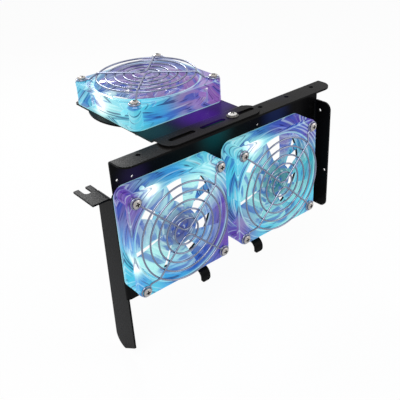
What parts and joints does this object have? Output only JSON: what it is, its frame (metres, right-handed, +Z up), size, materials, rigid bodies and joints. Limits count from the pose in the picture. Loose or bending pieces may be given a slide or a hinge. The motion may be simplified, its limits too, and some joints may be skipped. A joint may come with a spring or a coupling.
{
  "type": "graphics card cooling fan",
  "caption": "Slot-mounted card cooler: a folded bracket with a row of lit box fans and a sliding plate that holds another fan flat on top",
  "frame": {"origin": "on the underside of the screw tab, in the middle of the flat that rests on the case", "axes": "+X along the bracket away from the slot blade, +Y from the fans' fronts to the panel's back, +Z up"},
  "size_m": [0.1757, 0.1102, 0.1629],
  "materials": {
    "black_paint": "satin black powder coat",
    "clear_plastic": "clear moulded plastic, lit",
    "clear_blade": "clear tinted moulded plastic, lit",
    "chrome_wire": "bright plated wire",
    "screw_metal": "plated steel",
    "steel": "bare steel",
    "ferrite": "sintered magnet",
    "bronze": "sintered bronze",
    "copper": "enamelled copper wire",
    "board": "circuit board",
    "lamp": "clear lamp body"
  },
  "bodies": {
    "frame": {"bracket": "black_paint", "clamp_screw": "screw_metal", "clamp_washer": "screw_metal", "fan_1_housing": "clear_plastic", "fan_1_bearing": "bronze", "fan_1_stator": "steel", "fan_1_coils": "copper", "fan_1_board": "board", "fan_1_lamps": "lamp", "fan_1_guard": "chrome_wire", "fan_1_screws": "screw_metal", "fan_2_housing": "clear_plastic", "fan_2_bearing": "bronze", "fan_2_stator": "steel", "fan_2_coils": "copper", "fan_2_board": "board", "fan_2_lamps": "lamp", "fan_2_guard": "chrome_wire", "fan_2_screws": "screw_metal"},
    "arm": {"top_plate": "black_paint", "fan_3_housing": "clear_plastic", "fan_3_bearing": "bronze", "fan_3_stator": "steel", "fan_3_coils": "copper", "fan_3_board": "board", "fan_3_lamps": "lamp", "fan_3_guard": "chrome_wire", "fan_3_screws": "screw_metal"},
    "rotor_1": {"fan_1_impeller": "clear_blade", "fan_1_yoke": "steel", "fan_1_magnet": "ferrite", "fan_1_shaft": "steel"},
    "rotor_2": {"fan_2_impeller": "clear_blade", "fan_2_yoke": "steel", "fan_2_magnet": "ferrite", "fan_2_shaft": "steel"},
    "rotor_3": {"fan_3_impeller": "clear_blade", "fan_3_yoke": "steel", "fan_3_magnet": "ferrite", "fan_3_shaft": "steel"}
  },
  "joints": [
    {"name": "plate_slide", "type": "slide", "parent": "frame", "child": "arm", "axis": [1, 0, 0], "range_m": [-0.015, 0]},
    {"name": "fan_1_spin", "type": "hinge", "parent": "frame", "child": "rotor_1", "pos_m": [0.0401, -0.0259, -0.0258], "axis": [0, -1, 0], "continuous": true},
    {"name": "fan_2_spin", "type": "hinge", "parent": "frame", "child": "rotor_2", "pos_m": [0.119, -0.0259, -0.0258], "axis": [0, -1, 0], "continuous": true},
    {"name": "fan_3_spin", "type": "hinge", "parent": "arm", "child": "rotor_3", "pos_m": [0.0715, 0.0443, 0.0403], "axis": [0, 0, 1], "continuous": true}
  ]
}
